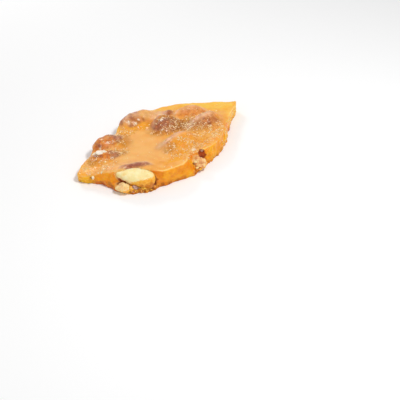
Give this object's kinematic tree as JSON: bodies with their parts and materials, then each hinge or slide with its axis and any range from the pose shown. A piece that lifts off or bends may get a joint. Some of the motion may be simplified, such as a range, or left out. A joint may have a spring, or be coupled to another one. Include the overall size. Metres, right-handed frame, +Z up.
{
  "type": "nut brittle piece",
  "caption": "Broken flat piece of amber nut brittle, a hard candy slab with skin-on nuts set in its face and bare kernels in its thick broken edge; a sweet to eat.",
  "frame": {"origin": "under the middle of the piece, on the flat face it was poured on", "axes": "+Z up, out of the face with the nuts; +X right, away from the thin tip; +Y back, away from the thick broken edge with the bare kernels"},
  "size_m": [0.071, 0.0699, 0.0097],
  "materials": {
    "candy": "hard amber sugar candy, satin poured face and glassy broken edge",
    "nut_skin": "roasted nut skin under a thin film of candy",
    "nut_kernel": "bare roasted kernel, smooth and matt"
  },
  "bodies": {
    "root": {"candy_slab": "candy", "nut_left_back": "nut_skin", "nut_left_front": "nut_skin", "nut_back_left": "nut_skin", "nut_centre": "nut_skin", "nut_centre_tip": "nut_skin", "nut_front_mound": "nut_skin", "nut_back": "nut_skin", "nut_right": "nut_skin", "kernel_right": "nut_kernel", "kernel_front": "nut_kernel", "kernel_low": "nut_kernel"}
  },
  "joints": []
}
